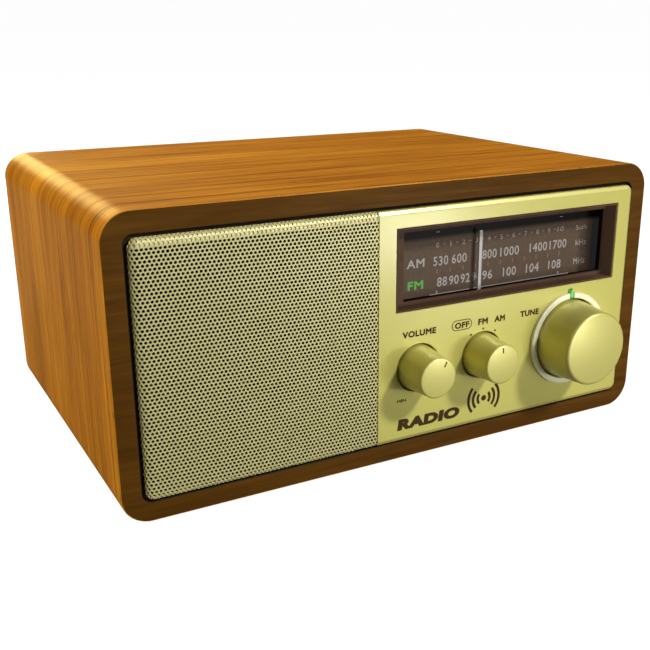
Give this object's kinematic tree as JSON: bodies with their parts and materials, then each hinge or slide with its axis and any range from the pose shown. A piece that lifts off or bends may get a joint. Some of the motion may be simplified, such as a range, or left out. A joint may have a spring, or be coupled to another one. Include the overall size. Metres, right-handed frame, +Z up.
{
  "type": "tabletop radio",
  "caption": "Wood-cased tabletop radio with perforated grille, recessed dial with moving pointer, two small knobs and a geared tuning knob.",
  "frame": {"origin": "centre of the bounding box on the plane the feet stand on", "axes": "+X to the right seen from the front, +Y to the back, +Z up"},
  "size_m": [0.24, 0.1862, 0.115],
  "materials": {
    "walnut": "satin clear lacquer over walnut veneer",
    "batten_wood": "raw sawn softwood",
    "rubber": "matte black rubber",
    "black_plastic": "fine textured black moulding",
    "champagne_metal": "satin champagne gold lacquer",
    "grille_metal": "perforated sheet in satin champagne",
    "black_cloth": "black acoustic cloth",
    "brown_plastic": "dark brown moulding",
    "dial_plate": "printed brown acrylic scale, lit from behind",
    "pointer_plastic": "light grey moulding",
    "green_lens": "translucent green",
    "plated_steel": "zinc plated steel",
    "circuit_board": "green solder mask",
    "white_nylon": "natural nylon",
    "dial_cord": "braided cord",
    "cone_paper": "black pressed paper",
    "copper_winding": "enamelled copper wire",
    "ferrite": "sintered ferrite",
    "brass_contact": "turned brass"
  },
  "bodies": {
    "cabinet": {"cabinet_shell": "walnut", "rear_batten_left": "batten_wood", "rear_batten_right": "batten_wood", "foot_front_left": "rubber", "foot_front_right": "rubber", "foot_rear_left": "rubber", "foot_rear_right": "rubber", "speaker_surround": "rubber", "front_frame": "black_plastic", "rear_panel": "black_plastic", "bass_port": "black_plastic", "mains_inlet": "black_plastic", "dc_jack": "black_plastic", "aux_jack": "black_plastic", "phones_jack": "black_plastic", "antenna_terminals": "black_plastic", "antenna_switch": "black_plastic", "faceplate": "champagne_metal", "tuning_bezel": "champagne_metal", "speaker_grille": "grille_metal", "grille_cloth": "black_cloth", "dial_housing": "brown_plastic", "dial_plate": "dial_plate", "tuning_lens": "green_lens", "pointer_rail": "plated_steel", "volume_pot": "plated_steel", "function_switch": "plated_steel", "dial_chassis": "plated_steel", "speaker_basket": "plated_steel", "rear_screw_1": "plated_steel", "rear_screw_2": "plated_steel", "rear_screw_3": "plated_steel", "rear_screw_4": "plated_steel", "dial_lamp_board": "circuit_board", "control_board": "circuit_board", "main_board": "circuit_board", "tuning_capacitor": "white_nylon", "ferrite_cradle": "white_nylon", "dial_cord": "dial_cord", "speaker_spider": "dial_cord", "ferrite_coil": "copper_winding", "transformer_winding": "copper_winding", "speaker_magnet": "ferrite", "ferrite_rod": "ferrite", "transformer_core": "ferrite", "tuning_bush": "brass_contact"},
    "volume_control": {"volume_knob": "champagne_metal", "volume_shaft": "plated_steel"},
    "function_control": {"function_knob": "champagne_metal", "function_shaft": "plated_steel"},
    "tuning_control": {"tuning_knob": "champagne_metal", "tuning_spindle": "plated_steel"},
    "pointer_carriage": {"dial_pointer": "pointer_plastic"},
    "drum": {"dial_drum": "white_nylon"},
    "idler_left": {"idler_pulley_left": "white_nylon"},
    "idler_right": {"idler_pulley_right": "white_nylon"},
    "cone": {"speaker_cone": "cone_paper", "dust_cap": "cone_paper", "voice_coil": "copper_winding"},
    "switch_slider": {"antenna_slider": "white_nylon"}
  },
  "joints": [
    {"name": "volume_turn", "type": "hinge", "parent": "cabinet", "child": "volume_control", "pos_m": [0.0018, -0.07195, 0.0415], "axis": [0, 1, 0], "range_deg": [-172, 128]},
    {"name": "function_turn", "type": "hinge", "parent": "cabinet", "child": "function_control", "pos_m": [0.0332, -0.07195, 0.0415], "axis": [0, 1, 0], "range_deg": [-33, 33]},
    {"name": "tuning_turn", "type": "hinge", "parent": "cabinet", "child": "tuning_control", "pos_m": [0.0792, -0.07195, 0.0414], "axis": [0, 1, 0], "range_deg": [-376, 855]},
    {"name": "pointer_slide", "type": "slide", "parent": "cabinet", "child": "pointer_carriage", "axis": [1, 0, 0], "range_m": [-0.0198, 0.0449]},
    {"name": "drum_turn", "type": "hinge", "parent": "cabinet", "child": "drum", "pos_m": [0.048, -0.04595, 0.0366], "axis": [0, 1, 0], "range_deg": [-56, 126]},
    {"name": "idler_left_turn", "type": "hinge", "parent": "cabinet", "child": "idler_left", "pos_m": [0.004, -0.04595, 0.0576], "axis": [0, 1, 0], "range_deg": [-283, 642]},
    {"name": "idler_right_turn", "type": "hinge", "parent": "cabinet", "child": "idler_right", "pos_m": [0.1, -0.04595, 0.0576], "axis": [0, 1, 0], "range_deg": [-283, 642]},
    {"name": "cone_travel", "type": "slide", "parent": "cabinet", "child": "cone", "axis": [0, 1, 0], "range_m": [-0.0015, 0.0015], "stiffness_N_per_m": 500, "deforming": ["speaker_surround", "speaker_spider"]},
    {"name": "antenna_switch_slide", "type": "slide", "parent": "cabinet", "child": "switch_slider", "axis": [1, 0, 0], "range_m": [0, 0.004]}
  ],
  "couplings": [
    {"joint": "pointer_slide", "follows": "tuning_turn", "m_per_rad": 0.003},
    {"joint": "drum_turn", "follows": "tuning_turn", "ratio": 0.14634},
    {"joint": "idler_left_turn", "follows": "tuning_turn", "ratio": 0.75},
    {"joint": "idler_right_turn", "follows": "tuning_turn", "ratio": 0.75}
  ]
}
